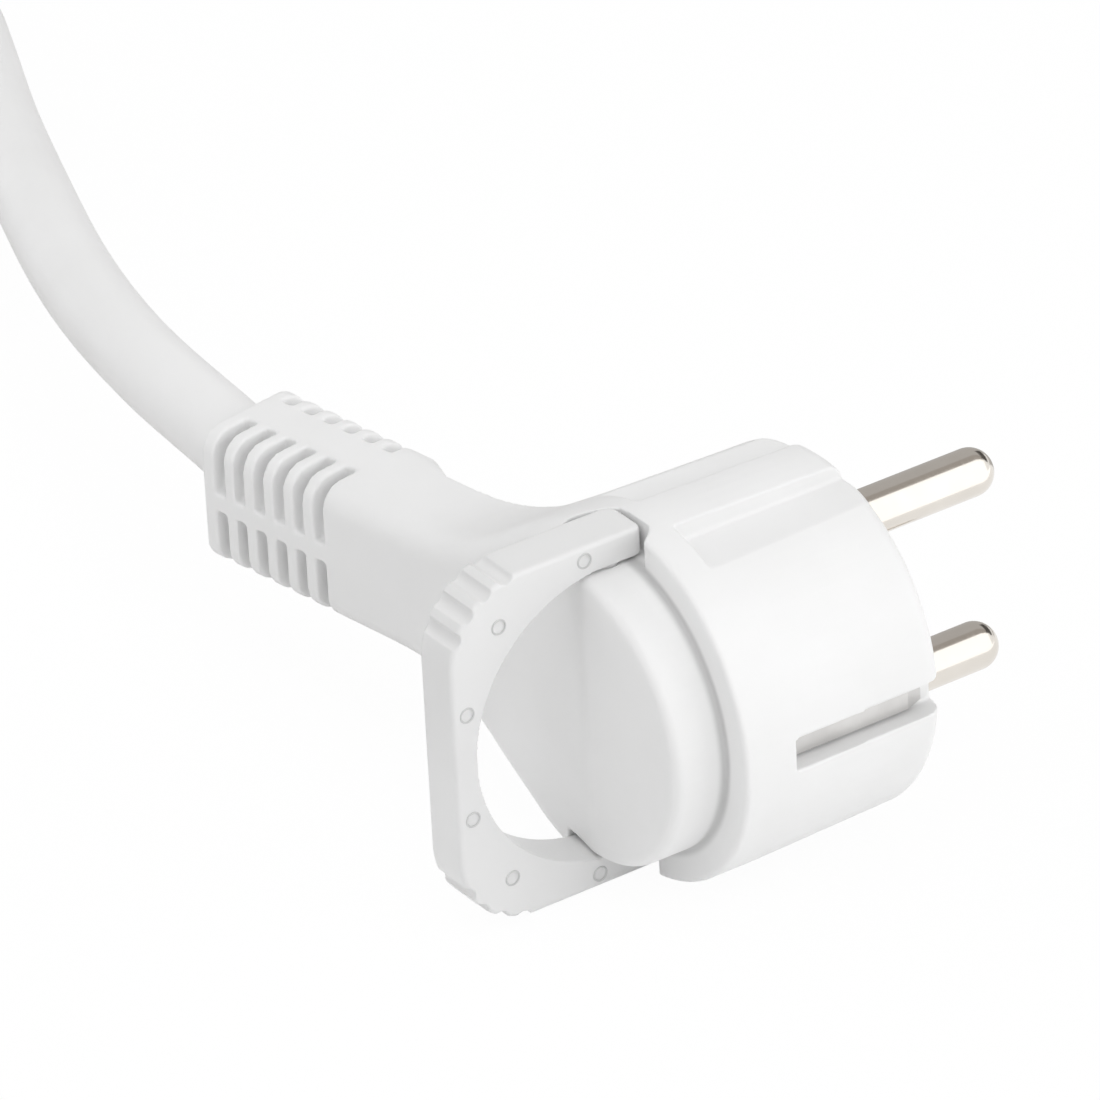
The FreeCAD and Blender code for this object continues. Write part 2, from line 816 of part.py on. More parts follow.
def place_on_coil(body, angle):
    body.Placement = FreeCAD.Placement(
        Vector(size.coil_x.value, size.coil_y.value, coil_z.value),
        FreeCAD.Rotation(Vector(0, 0, 1), angle.value))
    body.setExpression("Placement.Base.x", size.coil_x.text)
    body.setExpression("Placement.Base.y", size.coil_y.text)
    body.setExpression("Placement.Base.z", coil_z.text)


def cord_coil():
    body = new_body("cord_coil")
    revolve(body, coil_section(body, "coil_section", zero), "coil", "V_Axis")
    place_on_coil(body, zero)
    return body


def cord_tie():
    """Strap around the bundled turns."""
    body = new_body("cord_tie")
    sketch = coil_section(body, "tie_section", size.tie_thickness)
    add_rounded_rectangle(sketch, size.coil_radius - coil_half, size.coil_radius + coil_half,
                          -coil_half, coil_half, size.cord_radius)
    strap = revolve(body, sketch, "strap", "V_Axis")
    strap.setExpression("Angle", (size.tie_width / size.coil_radius * (180 / math.pi)).text)
    place_on_coil(body, size.tie_angle)
    return body


def tail_points():
    """Mid-line of the free end of the lead, laid on top of the bundled turns."""
    chord = math.radians(size.tail_sweep.value / TAIL_CHORDS)
    start = math.radians(size.tail_start.value)
    reach = size.coil_radius.value / math.cos(chord / 2)
    middle = Vector(size.coil_x.value, size.coil_y.value,
                    (coil_z + coil_half + size.cord_radius + size.coil_clearance).value)
    turns = [start + chord * index for index in range(TAIL_CHORDS + 1)]
    return [middle + Vector(math.cos(turn), math.sin(turn), 0) * reach for turn in turns]


def tail_frame():
    """End point of the stripped sheath, its direction, and two directions across it."""
    points = tail_points()
    along = (points[-1] - points[-2]).normalize()
    sideways = along.cross(Vector(0, 0, 1)).normalize()
    return points[-1], along, sideways, sideways.cross(along)


def tail_core_points(index):
    """Route of one stripped core at the free end, straight out of the sheath and then splayed."""
    end, along, sideways, upward = tail_frame()
    angle = math.radians(90 + 120 * index)
    outward = sideways * math.cos(angle) + upward * math.sin(angle)
    splay = math.radians(size.tail_core_splay.value)
    straight = size.tail_core_length.value / 3
    start = end + outward * size.core_circle.value
    turn = start + along * straight
    leave = along * math.cos(splay) + outward * math.sin(splay)
    return [start, turn, turn + leave * (straight * 2)]


def ferrule(name, points):
    """Crimped sleeve with a funnel collar over the end of a core."""
    body = new_body(name)
    sketch = new_sketch(body, name + "_profile", "XY_Plane")
    overlap = size.ferrule_collar_length / 2
    neck = size.ferrule_collar_length - overlap
    add_loop(sketch, [
        (-overlap, size.core_radius),
        (-overlap, size.ferrule_collar_radius),
        (neck / 2, size.ferrule_collar_radius),
        (neck, size.ferrule_radius),
        (neck + size.ferrule_length, size.ferrule_radius),
        (neck + size.ferrule_length, zero),
        (zero, zero),
        (zero, size.core_radius),
    ])
    revolve(body, sketch, name + "_sleeve")
    direction = points[-1] - points[-2]
    body.Placement = FreeCAD.Placement(points[-1], FreeCAD.Rotation(Vector(1, 0, 0), direction))
    return body


# Hollows of the moulded body

def hollow_cylinder(name, radius, length, x, y, z, along_x):
    hollow = doc.addObject("Part::Cylinder", name)
    hollow.setExpression("Radius", radius.text)
    hollow.setExpression("Height", length.text)
    turn = FreeCAD.Rotation(Vector(0, 1, 0), -90 if along_x else 0)
    hollow.Placement = FreeCAD.Placement(Vector(), turn)
    for axis, place in (("x", x), ("y", y), ("z", z)):
        hollow.setExpression("Placement.Base." + axis, place.text)
    return hollow


def corner_sweep(rounding, depth):
    """How far from the hinge a rounded corner of the ring's arm reaches as it swings."""
    along = size.arm_reach - rounding
    across = depth - rounding
    return root(along * along + across * across) + rounding


def arm_recess(name, low):
    """Room for an arm of the ring to swing, with a flat wall close to the arm's end."""
    back_sweep = corner_sweep(size.arm_back_round, size.ring_thickness - size.ring_front) + size.ring_gap
    front_sweep = corner_sweep(size.arm_front_round, size.ring_front) + size.ring_gap
    swing = hollow_cylinder(name + "_swing", back_sweep, boss_radius, -hinge_depth, size.hinge_height,
                            low, False)
    block = doc.addObject("Part::Box", name + "_block")
    sizes = (("Length", back_sweep + front_sweep), ("Width", back_sweep * 2), ("Height", boss_radius))
    for side, value in sizes:
        block.setExpression(side, value.text)
    corner = (("x", -hinge_depth - back_sweep), ("y", size.hinge_height - back_sweep), ("z", low))
    for axis, place in corner:
        block.setExpression("Placement.Base." + axis, place.text)
    recess = doc.addObject("Part::Common", name)
    recess.Base = swing
    recess.Tool = block
    return recess


def hollows():
    """Recesses of the ring's arms, peg holes, pin reliefs and the way in for a wall's earth pin."""
    radius = size.peg_radius + size.peg_clearance
    depth = size.peg_length + size.peg_clearance + size.boss_edge
    low = peg_tip - size.peg_clearance
    relief = size.pin_radius + size.relief_gap
    return [
        arm_recess("upper_arm_recess", boss_radius),
        arm_recess("lower_arm_recess", -(boss_radius * 2)),
        hollow_cylinder("upper_peg_hole", radius, depth, -hinge_depth, size.hinge_height, low, False),
        hollow_cylinder("lower_peg_hole", radius, depth, -hinge_depth, size.hinge_height,
                        -(low + depth), False),
        hollow_cylinder("earth_way_in", size.earth_bore, strip_back - size.strip_thickness,
                        zero, -size.earth_offset, zero, True),
        hollow_cylinder("upper_pin_relief", relief, size.relief_depth, zero, zero, pin_height, True),
        hollow_cylinder("lower_pin_relief", relief, size.relief_depth, zero, zero, -pin_height, True),
    ]


def cut_body(moulding, pieces):
    """The moulding with room for everything that it was moulded around."""
    channels = [shape_feature(name + "_channel", insulated_core(name, size.core_clearance.value))
                for name in CORE_NAMES]
    bore = tube_along(run_points(), size.cord_radius.value + size.core_clearance.value)
    channels.append(shape_feature("cord_bore", bore))
    filled = doc.addObject("Part::MultiFuse", "moulded_in")
    filled.Shapes = pieces + channels + hollows()
    body = doc.addObject("Part::Cut", "plug_body")
    body.Base = moulding
    body.Tool = filled
    return body


def build():
    """All sub-parts, each with the label that names its file."""
    carried = [contact_pin("live_pin", 1), contact_pin("neutral_pin", -1), pin_carrier(), earth_strip()]
    cores = [shape_feature(name, insulated_core(name)) for name in CORE_NAMES]
    lead = [
        shape_feature("cord_run", tube_along(run_points(), size.cord_radius.value)),
        cord_coil(),
        cord_tie(),
        shape_feature("cord_tail", tube_along(tail_points(), size.cord_radius.value)),
    ]
    for index, name in enumerate(CORE_NAMES):
        points = tail_core_points(index)
        lead.append(shape_feature(name + "_end", tube_along(points, size.core_radius.value)))
        lead.append(ferrule(name.replace("core", "ferrule"), points))
    body = cut_body(moulded_body(), carried)
    return [body, pull_ring()] + carried + cores + lead


def export(parts):
    """Check every object and sub-part, and then write the files."""
    doc.recompute()
    for item in doc.Objects:
        if "Invalid" in item.State or "Error" in item.State:
            raise RuntimeError(item.Label + " failed to build")
    for part in parts:
        if part.Shape.isNull() or not part.Shape.isValid():
            raise RuntimeError(part.Label + " has no valid shape")
    os.makedirs("parts", exist_ok=True)
    for part in parts:
        print("%-18s solids %d, volume %.1f mm3" % (
            part.Label, len(part.Shape.Solids), part.Shape.Volume))
        part.Shape.exportStep(os.path.join("parts", part.Label + ".step"))


export(build())
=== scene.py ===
"""Looks of an angled mains plug with a hinged pull ring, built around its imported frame."""

from __future__ import annotations

import json
import logging
import math
from dataclasses import dataclass
from enum import Enum

import bmesh
import bpy
import numpy as np
from mathutils import Matrix, Vector

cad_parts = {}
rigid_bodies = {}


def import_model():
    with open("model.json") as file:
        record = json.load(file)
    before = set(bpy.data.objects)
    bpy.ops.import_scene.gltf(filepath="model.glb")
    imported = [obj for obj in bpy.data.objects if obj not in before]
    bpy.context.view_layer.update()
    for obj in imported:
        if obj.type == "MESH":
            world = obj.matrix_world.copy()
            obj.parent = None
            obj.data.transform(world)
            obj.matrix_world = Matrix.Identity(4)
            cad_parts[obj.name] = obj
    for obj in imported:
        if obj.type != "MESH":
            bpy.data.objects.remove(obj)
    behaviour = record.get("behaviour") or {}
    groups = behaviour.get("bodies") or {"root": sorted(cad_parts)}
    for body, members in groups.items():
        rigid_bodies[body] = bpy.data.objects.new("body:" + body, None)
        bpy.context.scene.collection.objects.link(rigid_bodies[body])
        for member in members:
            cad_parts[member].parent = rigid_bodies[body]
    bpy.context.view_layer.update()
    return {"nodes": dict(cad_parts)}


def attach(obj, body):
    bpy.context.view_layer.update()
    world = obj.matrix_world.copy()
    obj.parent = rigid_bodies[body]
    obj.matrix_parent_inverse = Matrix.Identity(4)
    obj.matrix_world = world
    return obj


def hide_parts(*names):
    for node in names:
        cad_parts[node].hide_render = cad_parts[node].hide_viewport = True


Triple = tuple[float, float, float]
Colour = Triple
Pair = tuple[float, float]
Line = tuple[Pair, ...]

LOG = logging.getLogger("plug_scene")
MM = 0.001
FLOOR_Z = -18.45 * MM
APRON_Z = FLOOR_Z + 0.2 * MM
CARD_RADIUS = 0.9
MERGE_DISTANCE = 0.002 * MM
CORES = ("live", "neutral", "earth")
WHITE = (1.0, 1.0, 1.0, 1.0)
# Nearly all of a noise pattern lies between these values.
PATTERN_RANGE = (0.3, 0.7)
# The wave texture's scale is one over this many band widths.
WAVE_WIDTHS = 6
# Colour sockets of the mix node, which shares their names among its data types.
MIX_FIRST = 6
MIX_SECOND = 7
MIX_RESULT = 2


class Body(Enum):
    """Moving bodies of the frame."""

    PLUG = "plug"
    RING = "ring"


class Slot(Enum):
    """Material slots of the record."""

    BODY = "body_plastic"
    RING = "ring_plastic"
    SHEATH = "cord_sheath"
    STRAP = "tie_strap"


class Grain(Enum):
    """Ways in which a metal's fine marks run, as the fineness of their noise along X, Y and Z."""

    TURNED = (1, 0.04, 0.04)
    ROLLED = (1, 1, 0.05)


def rgba(colour: Colour) -> tuple[float, float, float, float]:
    """Gives a linear colour with full opacity."""
    return (*colour, 1.0)


class NodeSheet:
    """A material's node tree, with short calls for the nodes that the finishes share."""

    def __init__(self, name: str) -> None:
        """Starts an empty material with a Principled shader.

        Args:
            name: Name of the material.
        """
        self.material = bpy.data.materials.new(name)
        self.material.use_nodes = True
        self.tree = self.material.node_tree
        self.tree.nodes.clear()
        self.output = self.tree.nodes.new("ShaderNodeOutputMaterial")
        self.shader = self.tree.nodes.new("ShaderNodeBsdfPrincipled")
        self.join(self.shader.outputs["BSDF"], self.output.inputs["Surface"])

    def join(self, source: bpy.types.NodeSocket, target: bpy.types.NodeSocket) -> None:
        """Links two sockets."""
        self.tree.links.new(source, target)

    def place(self, scale: Vector) -> bpy.types.NodeSocket:
        """Gives Object coordinates, stretched.

        Args:
            scale: Stretch along X, Y and Z.

        Returns:
            The vector socket.
        """
        where = self.tree.nodes.new("ShaderNodeTexCoord")
        mapping = self.tree.nodes.new("ShaderNodeMapping")
        mapping.inputs["Scale"].default_value = scale
        self.join(where.outputs["Object"], mapping.inputs["Vector"])
        return mapping.outputs["Vector"]

    def noise(self, grain: float, detail: float, stretch: Triple = (1, 1, 1)) -> bpy.types.NodeSocket:
        """Gives a noise pattern.

        Args:
            grain: Size of one cloud of the noise, in metres.
            detail: Number of finer layers.
            stretch: Shares of that fineness along X, Y and Z.

        Returns:
            The factor socket.
        """
        pattern = self.tree.nodes.new("ShaderNodeTexNoise")
        pattern.inputs["Scale"].default_value = 1 / grain
        pattern.inputs["Detail"].default_value = detail
        self.join(self.place(Vector(stretch)), pattern.inputs["Vector"])
        return pattern.outputs["Fac"]

    def blend(self, factor: bpy.types.NodeSocket, low: Colour, high: Colour,
              edges: Pair = PATTERN_RANGE) -> bpy.types.NodeSocket:
        """Blends two colours by a pattern.

        Args:
            factor: Pattern that chooses between them.
            low: Linear colour where the pattern is low.
            high: Linear colour where it is high.
            edges: Pattern values at which the two colours are reached.

        Returns:
            The colour socket.
        """
        ramp = self.tree.nodes.new("ShaderNodeValToRGB")
        ramp.color_ramp.elements[0].position = edges[0]
        ramp.color_ramp.elements[0].color = rgba(low)
        ramp.color_ramp.elements[1].position = edges[1]
        ramp.color_ramp.elements[1].color = rgba(high)
        self.join(factor, ramp.inputs["Fac"])
        return ramp.outputs["Color"]

    def spread(self, factor: bpy.types.NodeSocket, low: float, high: float) -> bpy.types.NodeSocket:
        """Spreads a pattern over a range of values.

        Args:
            factor: Pattern within PATTERN_RANGE.
            low: Value at the low end.
            high: Value at the high end.

        Returns:
            The value socket.
        """
        span = self.tree.nodes.new("ShaderNodeMapRange")
        span.inputs["From Min"].default_value = PATTERN_RANGE[0]
        span.inputs["From Max"].default_value = PATTERN_RANGE[1]
        span.inputs["To Min"].default_value = low
        span.inputs["To Max"].default_value = high
        self.join(factor, span.inputs["Value"])
        return span.outputs["Result"]

    def relief(self, height: bpy.types.NodeSocket, depth: float, strength: float,
               under: bpy.types.NodeSocket | None = None) -> bpy.types.NodeSocket:
        """Raises a bump from a pattern.

        Args:
            height: Pattern that gives the height.
            depth: Height of the bump, in metres.
            strength: Share of the bump that shows.
            under: Normal of a bump that this one lies on.

        Returns:
            The normal socket.
        """
        bump = self.tree.nodes.new("ShaderNodeBump")
        bump.inputs["Distance"].default_value = depth
        bump.inputs["Strength"].default_value = strength
        self.join(height, bump.inputs["Height"])
        if under is not None:
            self.join(under, bump.inputs["Normal"])
        return bump.outputs["Normal"]

    def set(self, **values: float | Colour) -> None:
        """Sets plain values on the shader's own sockets, words joined by underscores."""
        for name, value in values.items():
            socket = self.shader.inputs[name.replace("_", " ")]
            socket.default_value = rgba(value) if isinstance(value, tuple) else value

    def feed(self, name: str, source: bpy.types.NodeSocket) -> None:
        """Links a pattern to a socket of the shader."""
        self.join(source, self.shader.inputs[name])


@dataclass(frozen=True)
class PaintedCreaseShade:
    """Painted shade in the crease round the X axis at the boss's foot, with its sizes in metres.

    Its depth is its place along X, and its share is how much darker it is.
    """

    depth: float
    radius: float
    width: float
    share: float

    def darken(self, sheet: NodeSheet, colour: bpy.types.NodeSocket) -> bpy.types.NodeSocket:
        """Darkens a colour near the crease, as painted shade.

        Args:
            sheet: The material's sheet.
            colour: Colour away from the crease.

        Returns:
            The colour socket.
        """
        along = sheet.tree.nodes.new("ShaderNodeSeparateXYZ")
        sheet.join(sheet.place(Vector((1, 1, 1))), along.inputs[0])
        around = sheet.tree.nodes.new("ShaderNodeVectorMath")
        around.operation = "LENGTH"
        sheet.join(sheet.place(Vector((0, 1, 1))), around.inputs[0])
        place = sheet.tree.nodes.new("ShaderNodeCombineXYZ")
        sheet.join(along.outputs["X"], place.inputs["X"])
        sheet.join(around.outputs["Value"], place.inputs["Y"])
        away = sheet.tree.nodes.new("ShaderNodeVectorMath")
        away.operation = "DISTANCE"
        away.inputs[1].default_value = (self.depth, self.radius, 0)
        sheet.join(place.outputs[0], away.inputs[0])
        fade = sheet.tree.nodes.new("ShaderNodeMapRange")
        fade.interpolation_type = "SMOOTHERSTEP"
        fade.inputs["From Max"].default_value = self.width
        fade.inputs["To Min"].default_value = 1 - self.share
        fade.inputs["To Max"].default_value = 1
        sheet.join(away.outputs["Value"], fade.inputs["Value"])
        tint = sheet.tree.nodes.new("ShaderNodeMix")
        tint.data_type = "RGBA"
        tint.blend_type = "MULTIPLY"
        tint.inputs["Factor"].default_value = 1
        sheet.join(colour, tint.inputs[MIX_FIRST])
        sheet.join(fade.outputs["Result"], tint.inputs[MIX_SECOND])
        return tint.outputs[MIX_RESULT]


@dataclass(frozen=True)
class MouldedPlastic:
    """White plastic with a faint cloudiness and the fine grain of a mould."""

    name: str
    bright: Colour
    shade: Colour
    roughness: Pair
    grain: float
    grain_depth: float
    ripple_depth: float = 4e-6
    painted_shade: PaintedCreaseShade | None = None
    cloud: float = 11 * MM
    ripple: float = 2.6 * MM
    grain_share: float = 0.5
    ripple_share: float = 0.6

    def material(self) -> bpy.types.Material:
        """Builds the material.

        Returns:
            The finished material.
        """
        sheet = NodeSheet(self.name)
        clouds = sheet.noise(self.cloud, detail=3)
        colour = sheet.blend(clouds, self.shade, self.bright)
        # Painted shade: a darker band along the crease at the boss's foot, where one is given.
        if self.painted_shade is not None:
            colour = self.painted_shade.darken(sheet, colour)
        sheet.feed("Base Color", colour)
        fine = sheet.noise(self.grain, detail=2)
        sheet.feed("Roughness", sheet.spread(fine, *self.roughness))
        waves = sheet.noise(self.ripple, detail=1)
        ripple = sheet.relief(waves, self.ripple_depth, self.ripple_share)
        sheet.feed("Normal", sheet.relief(fine, self.grain_depth, self.grain_share, ripple))
        return sheet.material


@dataclass(frozen=True)
class PlatedMetal:
    """Plated metal with turning rings or rolling lines."""

    name: str
    bright: Colour
    shade: Colour
    roughness: Pair
    grain: Grain
    mark: float
    mark_depth: float
    mark_share: float = 0.5
    cloud: float = 3 * MM

    def material(self) -> bpy.types.Material:
        """Builds the material.

        Returns:
            The finished material.
        """
        sheet = NodeSheet(self.name)
        marks = sheet.noise(self.mark, detail=2, stretch=self.grain.value)
        clouds = sheet.noise(self.cloud, detail=2)
        sheet.feed("Base Color", sheet.blend(clouds, self.shade, self.bright))
        sheet.feed("Roughness", sheet.spread(marks, *self.roughness))
        sheet.feed("Normal", sheet.relief(marks, self.mark_depth, self.mark_share))
        sheet.set(Metallic=1.0)
        return sheet.material


@dataclass(frozen=True)
class Insulation:
    """Extruded insulation of one core, with a second colour in stripes where it has one."""

    name: str
    colour: Colour
    stripe: Colour
    stripe_width: float = 5 * MM
    stripe_run: Triple = (1, 0, 0.6)
    stripe_edges: Pair = (0.45, 0.55)
    roughness: Pair = (0.32, 0.46)
    grain: float = 0.25 * MM
    grain_depth: float = 6e-6
    grain_share: float = 0.5

    def material(self) -> bpy.types.Material:
        """Builds the material.

        Returns:
            The finished material.
        """
        sheet = NodeSheet(self.name)
        bands = sheet.tree.nodes.new("ShaderNodeTexWave")
        bands.inputs["Scale"].default_value = 1 / (self.stripe_width * WAVE_WIDTHS)
        sheet.join(sheet.place(Vector(self.stripe_run)), bands.inputs["Vector"])
        colour = sheet.blend(bands.outputs["Fac"], self.colour, self.stripe, self.stripe_edges)
        sheet.feed("Base Color", colour)
        fine = sheet.noise(self.grain, detail=2)
        sheet.feed("Roughness", sheet.spread(fine, *self.roughness))
        sheet.feed("Normal", sheet.relief(fine, self.grain_depth, self.grain_share))
        return sheet.material


@dataclass(frozen=True)
class RibbedStrap:
    """Pale strap with fine woven ribs across it."""

    name: str
    bright: Colour
    shade: Colour
    rib: float
    rib_depth: float = 0.12 * MM
    rib_share: float = 0.6
    rib_run: Triple = (1, 0.15, 1)
    rib_edges: Pair = (0.1, 0.6)
    wobble: float = 0.6
    roughness: float = 0.72
    sheen: float = 0.2

    def material(self) -> bpy.types.Material:
        """Builds the material.

        Returns:
            The finished material.
        """
        sheet = NodeSheet(self.name)
        ribs = sheet.tree.nodes.new("ShaderNodeTexWave")
        ribs.inputs["Scale"].default_value = 1 / (self.rib * WAVE_WIDTHS)
        ribs.inputs["Distortion"].default_value = self.wobble
        sheet.join(sheet.place(Vector(self.rib_run)), ribs.inputs["Vector"])
        pattern = ribs.outputs["Fac"]
        sheet.feed("Base Color", sheet.blend(pattern, self.shade, self.bright, self.rib_edges))
        sheet.feed("Normal", sheet.relief(pattern, self.rib_depth, self.rib_share))
        sheet.set(Roughness=self.roughness, Sheen_Weight=self.sheen)
        return sheet.material


# Painted shade at the boss's foot: the body's colour is darkened in the crease where the boss meets
# the shroud's rim.
BOSS_FOOT_PAINTED_SHADE = PaintedCreaseShade(depth=-22.9 * MM, radius=15.1 * MM, width=1.1 * MM, share=0.34)
BODY_WHITE = MouldedPlastic(
    "white_satin_moulding", (0.85, 0.85, 0.85), (0.825, 0.825, 0.823),
    roughness=(0.4, 0.52), grain=0.16 * MM, grain_depth=6e-6, painted_shade=BOSS_FOOT_PAINTED_SHADE)
RING_WHITE = MouldedPlastic(
    "white_smooth_moulding", (0.79, 0.79, 0.79), (0.77, 0.77, 0.768),
    roughness=(0.3, 0.4), grain=0.3 * MM, grain_depth=1e-6, ripple_depth=2e-6)
# Painted shade: a darker copy of the ring's white for the ejector rims, standing in for the shade in
# the gaps round the marks.
EJECTOR_RIM_PAINTED_SHADE = MouldedPlastic(
    "white_ejector_rim_painted_shade", (0.6, 0.6, 0.6), (0.57, 0.57, 0.568),
    roughness=(0.3, 0.4), grain=0.3 * MM, grain_depth=1e-6, ripple_depth=2e-6)
CARRIER_WHITE = MouldedPlastic(
    "white_carrier_moulding", (0.82, 0.82, 0.815), (0.79, 0.79, 0.785),
    roughness=(0.42, 0.54), grain=0.14 * MM, grain_depth=8e-6)
SHEATH_WHITE = MouldedPlastic(
    "white_cord_sheath", (0.875, 0.875, 0.875), (0.85, 0.85, 0.848),
    roughness=(0.34, 0.46), grain=0.22 * MM, grain_depth=9e-6, ripple_depth=9e-6)
NICKEL = PlatedMetal(
    "polished_nickel", (0.79, 0.75, 0.695), (0.75, 0.71, 0.655),
    roughness=(0.12, 0.2), grain=Grain.TURNED, mark=0.22 * MM, mark_depth=3e-6)
STRIP_METAL = PlatedMetal(
    "satin_contact_strip", (0.68, 0.67, 0.66), (0.61, 0.6, 0.59),
    roughness=(0.3, 0.42), grain=Grain.ROLLED, mark=0.12 * MM, mark_depth=5e-6)
TINNED = PlatedMetal(
    "tinned_ferrule", (0.76, 0.76, 0.745), (0.68, 0.68, 0.665),
    roughness=(0.24, 0.38), grain=Grain.ROLLED, mark=0.3 * MM, mark_depth=9e-6)
BROWN = Insulation("brown_insulation_finish", (0.23, 0.11, 0.055), (0.21, 0.1, 0.05))
BLUE = Insulation("blue_insulation_finish", (0.04, 0.2, 0.55), (0.036, 0.185, 0.51))
EARTH = Insulation("earth_insulation_finish", (0.08, 0.36, 0.07), (0.78, 0.66, 0.04),
                   stripe_width=3 * MM)
STRAP = RibbedStrap("pale_ribbed_strap", (0.82, 0.82, 0.81), (0.68, 0.68, 0.67), rib=0.9 * MM)


def link(name: str, data: bpy.types.ID) -> bpy.types.Object:
    """Puts new data into the scene as an object at the origin.

    Args:
        name: Name of the object.
        data: Its mesh, curve, lamp or camera.

    Returns:
        The object.
    """
    item = bpy.data.objects.new(name, data)
    bpy.context.scene.collection.objects.link(item)
    return item


def dress(item: bpy.types.Object, material: bpy.types.Material) -> None:
    """Gives an object one material over all its faces."""
    item.data.materials.clear()
    item.data.materials.append(material)
    if item.type == "MESH":
        item.data.polygons.foreach_set("material_index", [0] * len(item.data.polygons))


def drop_slivers(item: bpy.types.Object, least_area: float = 1e-13) -> None:
    """Deletes faces without area, which a pole of a dome can leave.

    Args:
        item: Mesh object, changed in place.
        least_area: Smallest area of a face that stays, in square metres.
    """
    shell = bmesh.new()
    shell.from_mesh(item.data)
    slivers = [face for face in shell.faces if face.calc_area() < least_area]
    bmesh.ops.delete(shell, geom=slivers, context="FACES_ONLY")
    shell.to_mesh(item.data)
    shell.free()


def settled(item: bpy.types.Object) -> bpy.types.Mesh:
    """Turns an object's modifiers into a plain mesh.

    Args:
        item: Object with live modifiers.

    Returns:
        The evaluated mesh.
    """
    bpy.context.view_layer.update()
    graph = bpy.context.evaluated_depsgraph_get()
    return bpy.data.meshes.new_from_object(item.evaluated_get(graph), depsgraph=graph)


def plain_object(name: str, shell: bmesh.types.BMesh) -> bpy.types.Object:
    """Puts a finished bmesh into the scene with smooth faces.

    Args:
        name: Name of the object.
        shell: The bmesh, freed here.

    Returns:
        The object.
    """
    mesh = bpy.data.meshes.new(name)
    shell.to_mesh(mesh)
    shell.free()
    mesh.polygons.foreach_set("use_smooth", [True] * len(mesh.polygons))
    return link(name, mesh)


@dataclass(frozen=True)
class SoftZone:
    """A box in which edges are rounder, in millimetres, fading in from its sides."""

    name: str
    low: Triple
    high: Triple
    fade: float
    passes: int
    steps: int = 8

    def mark(self, skin: bpy.types.Object) -> None:
        """Marks the skin's corners inside the zone as a vertex group.

        Args:
            skin: The skin.
        """
        places = np.empty(3 * len(skin.data.vertices), dtype=np.float32)
        skin.data.vertices.foreach_get("co", places)
        places = places.reshape(-1, 3) / MM
        inside = np.minimum(places - np.array(self.low), np.array(self.high) - places).min(axis=1)
        level = np.clip(np.ceil(inside / self.fade * self.steps), 0, self.steps).astype(int)
        group = skin.vertex_groups.new(name=self.name)
        for step in range(1, self.steps + 1):
            group.add(np.nonzero(level == step)[0].tolist(), step / self.steps, "REPLACE")


@dataclass(frozen=True)
class Softening:
    """How a moulding's sharp CAD edges get the small rounding of a mould."""

    voxel: float
    passes: int
    zones: tuple[SoftZone, ...] = ()
    most_triangles: int = 180000
    share: float = 0.5

    def remade(self, name: str, shell: bmesh.types.BMesh) -> bpy.types.Object:
        """Rebuilds joined shapes as one closed skin and rounds its edges.

        Args:
            name: Name of the new piece.
            shell: The joined shapes, freed here.

        Returns:
            The new piece.
        """
        blank = plain_object(name + "_blank", shell)
        cells = blank.modifiers.new("cells", "REMESH")
        cells.mode = "VOXEL"
        cells.voxel_size = self.voxel
        skin = link(name + "_skin", settled(blank))
        bpy.data.objects.remove(blank)
        self.polish(skin, "", self.passes)
        for zone in self.zones:
            zone.mark(skin)
            self.polish(skin, zone.name, zone.passes)
        triangles = 2 * len(skin.data.polygons)
        if triangles > self.most_triangles:
            thin = skin.modifiers.new("thin", "DECIMATE")
            thin.ratio = self.most_triangles / triangles
        piece = link(name, settled(skin))
        piece.data.name = name
        bpy.data.objects.remove(skin)
        piece.data.polygons.foreach_set("use_smooth", [True] * len(piece.data.polygons))
        return piece

    def polish(self, skin: bpy.types.Object, group: str, passes: int) -> None:
        """Adds smoothing to a skin.

        Args:
            skin: The skin.
            group: Vertex group that is smoothed, empty for all of the skin.
            passes: Number of passes.
        """
        smooth = skin.modifiers.new("polish", "SMOOTH")
        smooth.factor = self.share
        smooth.iterations = passes
        smooth.vertex_group = group


def joined(nodes: list[bpy.types.Object]) -> bmesh.types.BMesh:
    """Joins copies of CAD nodes, with their doubled corners merged.

    Args:
        nodes: CAD nodes, left as they are.

    Returns:
        A bmesh of all of them.
    """
    shell = bmesh.new()
    for node in nodes:
        shell.from_mesh(node.data)
    bmesh.ops.remove_doubles(shell, verts=shell.verts, dist=MERGE_DISTANCE)
    return shell


def direction(azimuth: float, elevation: float) -> Vector:
    """Gives the direction from the object to a camera or a lamp.

    Args:
        azimuth: Angle from the front, which is -Y, towards +X, in degrees.
        elevation: Angle above the floor, in degrees.

    Returns:
        The direction, of length 1.
    """
    turn = math.radians(azimuth)
    rise = math.radians(elevation)
    level = math.cos(rise)
    return Vector((math.sin(turn) * level, -math.cos(turn) * level, math.sin(rise)))


